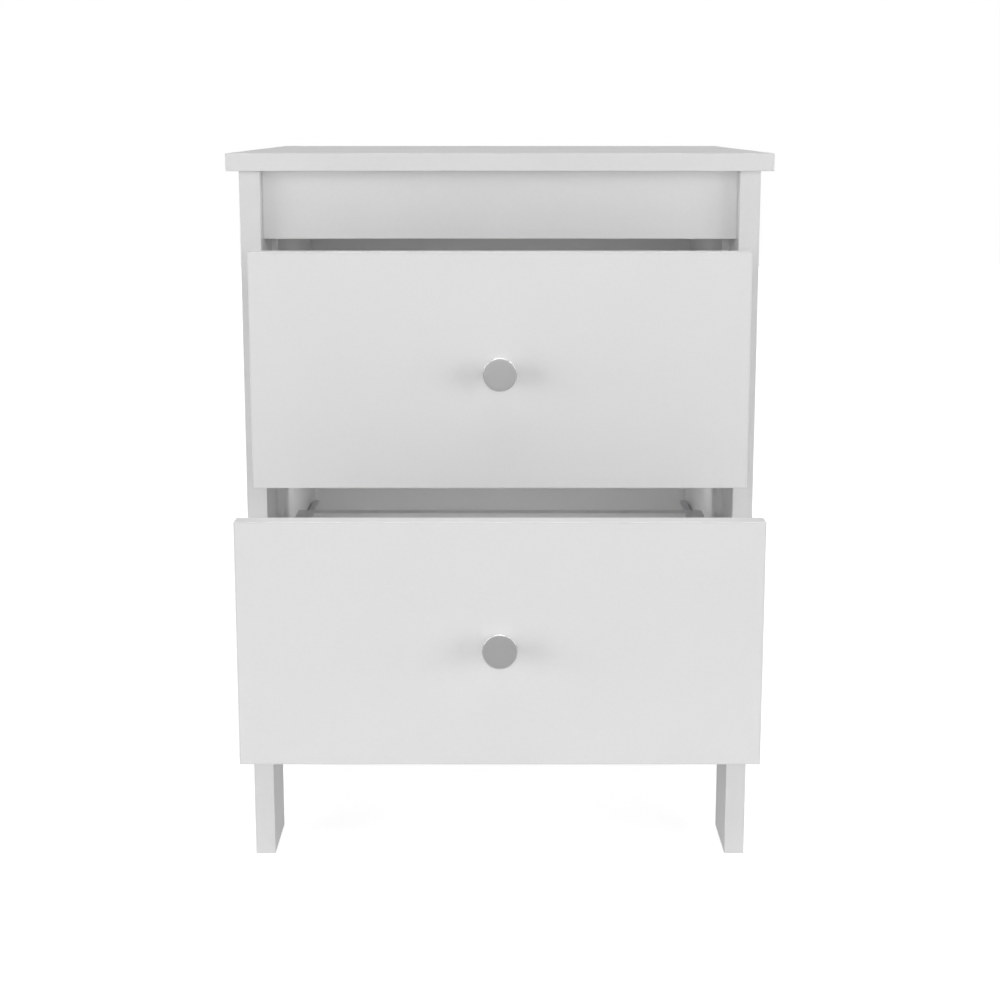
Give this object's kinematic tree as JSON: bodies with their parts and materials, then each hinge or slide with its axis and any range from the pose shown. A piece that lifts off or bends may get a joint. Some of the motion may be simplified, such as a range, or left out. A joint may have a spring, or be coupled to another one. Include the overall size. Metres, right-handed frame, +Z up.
{
  "type": "nightstand",
  "caption": "Square bedside cabinet on flat board legs, with inset drawers on full-extension ball-bearing slides and round metal knobs.",
  "frame": {"origin": "on the floor, at the centre of the footprint of the four leg posts", "axes": "+Z up, -Y towards the user (the drawers open along -Y), +X to the right seen from the front"},
  "size_m": [0.47, 0.715, 0.6365],
  "materials": {
    "white_board": "white melamine-faced particle board, satin",
    "white_hardboard": "thin hardboard, white painted face",
    "slide_steel": "zinc-plated rolled steel",
    "cage_steel": "pressed steel retainer with bright balls",
    "knob_chrome": "chrome-plated die casting, satin face",
    "fastener_steel": "zinc-plated",
    "cam_zinc": "zinc die casting, dull",
    "beech": "plain beech"
  },
  "bodies": {
    "carcass": {"top_panel": "white_board", "front_left_post": "white_board", "front_right_post": "white_board", "rear_left_post": "white_board", "rear_right_post": "white_board", "left_side_panel": "white_board", "right_side_panel": "white_board", "apron": "white_board", "rear_rail": "white_board", "bottom_panel": "white_board", "back_panel": "white_hardboard", "carcass_cam_locks": "cam_zinc", "carcass_cam_bolts": "fastener_steel", "back_panel_nails": "fastener_steel", "cabinet_slide_screws": "fastener_steel", "dowels": "beech", "upper_left_cabinet_member": "slide_steel", "upper_right_cabinet_member": "slide_steel", "lower_left_cabinet_member": "slide_steel", "lower_right_cabinet_member": "slide_steel"},
    "upper_drawer": {"upper_drawer_front": "white_board", "upper_drawer_left_side": "white_board", "upper_drawer_right_side": "white_board", "upper_drawer_back": "white_board", "upper_drawer_bottom": "white_hardboard", "upper_knob": "knob_chrome", "upper_knob_screw": "fastener_steel", "upper_drawer_cam_locks": "cam_zinc", "upper_drawer_cam_bolts": "fastener_steel", "upper_drawer_corner_screws": "fastener_steel", "upper_drawer_slide_screws": "fastener_steel", "upper_left_drawer_member": "slide_steel", "upper_right_drawer_member": "slide_steel"},
    "upper_left_middle": {"upper_left_middle_member": "slide_steel"},
    "upper_left_outer_cage": {"upper_left_outer_ball_cage": "cage_steel"},
    "upper_left_inner_cage": {"upper_left_inner_ball_cage": "cage_steel"},
    "upper_right_middle": {"upper_right_middle_member": "slide_steel"},
    "upper_right_outer_cage": {"upper_right_outer_ball_cage": "cage_steel"},
    "upper_right_inner_cage": {"upper_right_inner_ball_cage": "cage_steel"},
    "lower_drawer": {"lower_drawer_front": "white_board", "lower_drawer_left_side": "white_board", "lower_drawer_right_side": "white_board", "lower_drawer_back": "white_board", "lower_drawer_bottom": "white_hardboard", "lower_knob": "knob_chrome", "lower_knob_screw": "fastener_steel", "lower_drawer_cam_locks": "cam_zinc", "lower_drawer_cam_bolts": "fastener_steel", "lower_drawer_corner_screws": "fastener_steel", "lower_drawer_slide_screws": "fastener_steel", "lower_left_drawer_member": "slide_steel", "lower_right_drawer_member": "slide_steel"},
    "lower_left_middle": {"lower_left_middle_member": "slide_steel"},
    "lower_left_outer_cage": {"lower_left_outer_ball_cage": "cage_steel"},
    "lower_left_inner_cage": {"lower_left_inner_ball_cage": "cage_steel"},
    "lower_right_middle": {"lower_right_middle_member": "slide_steel"},
    "lower_right_outer_cage": {"lower_right_outer_ball_cage": "cage_steel"},
    "lower_right_inner_cage": {"lower_right_inner_ball_cage": "cage_steel"}
  },
  "joints": [
    {"name": "upper_drawer_slide", "type": "slide", "parent": "carcass", "child": "upper_drawer", "axis": [0, -1, 0], "range_m": [-0.125, 0.175]},
    {"name": "upper_left_middle_slide", "type": "slide", "parent": "carcass", "child": "upper_left_middle", "axis": [0, -1, 0], "range_m": [-0.0625, 0.0875]},
    {"name": "upper_left_outer_cage_slide", "type": "slide", "parent": "carcass", "child": "upper_left_outer_cage", "axis": [0, -1, 0], "range_m": [-0.03125, 0.04375]},
    {"name": "upper_left_inner_cage_slide", "type": "slide", "parent": "carcass", "child": "upper_left_inner_cage", "axis": [0, -1, 0], "range_m": [-0.09375, 0.13125]},
    {"name": "upper_right_middle_slide", "type": "slide", "parent": "carcass", "child": "upper_right_middle", "axis": [0, -1, 0], "range_m": [-0.0625, 0.0875]},
    {"name": "upper_right_outer_cage_slide", "type": "slide", "parent": "carcass", "child": "upper_right_outer_cage", "axis": [0, -1, 0], "range_m": [-0.03125, 0.04375]},
    {"name": "upper_right_inner_cage_slide", "type": "slide", "parent": "carcass", "child": "upper_right_inner_cage", "axis": [0, -1, 0], "range_m": [-0.09375, 0.13125]},
    {"name": "lower_drawer_slide", "type": "slide", "parent": "carcass", "child": "lower_drawer", "axis": [0, -1, 0], "range_m": [-0.248, 0.052]},
    {"name": "lower_left_middle_slide", "type": "slide", "parent": "carcass", "child": "lower_left_middle", "axis": [0, -1, 0], "range_m": [-0.124, 0.026]},
    {"name": "lower_left_outer_cage_slide", "type": "slide", "parent": "carcass", "child": "lower_left_outer_cage", "axis": [0, -1, 0], "range_m": [-0.062, 0.013]},
    {"name": "lower_left_inner_cage_slide", "type": "slide", "parent": "carcass", "child": "lower_left_inner_cage", "axis": [0, -1, 0], "range_m": [-0.186, 0.039]},
    {"name": "lower_right_middle_slide", "type": "slide", "parent": "carcass", "child": "lower_right_middle", "axis": [0, -1, 0], "range_m": [-0.124, 0.026]},
    {"name": "lower_right_outer_cage_slide", "type": "slide", "parent": "carcass", "child": "lower_right_outer_cage", "axis": [0, -1, 0], "range_m": [-0.062, 0.013]},
    {"name": "lower_right_inner_cage_slide", "type": "slide", "parent": "carcass", "child": "lower_right_inner_cage", "axis": [0, -1, 0], "range_m": [-0.186, 0.039]}
  ],
  "couplings": [
    {"joint": "upper_left_middle_slide", "follows": "upper_drawer_slide", "ratio": 0.5},
    {"joint": "upper_left_outer_cage_slide", "follows": "upper_drawer_slide", "ratio": 0.25},
    {"joint": "upper_left_inner_cage_slide", "follows": "upper_drawer_slide", "ratio": 0.75},
    {"joint": "upper_right_middle_slide", "follows": "upper_drawer_slide", "ratio": 0.5},
    {"joint": "upper_right_outer_cage_slide", "follows": "upper_drawer_slide", "ratio": 0.25},
    {"joint": "upper_right_inner_cage_slide", "follows": "upper_drawer_slide", "ratio": 0.75},
    {"joint": "lower_left_middle_slide", "follows": "lower_drawer_slide", "ratio": 0.5},
    {"joint": "lower_left_outer_cage_slide", "follows": "lower_drawer_slide", "ratio": 0.25},
    {"joint": "lower_left_inner_cage_slide", "follows": "lower_drawer_slide", "ratio": 0.75},
    {"joint": "lower_right_middle_slide", "follows": "lower_drawer_slide", "ratio": 0.5},
    {"joint": "lower_right_outer_cage_slide", "follows": "lower_drawer_slide", "ratio": 0.25},
    {"joint": "lower_right_inner_cage_slide", "follows": "lower_drawer_slide", "ratio": 0.75}
  ]
}
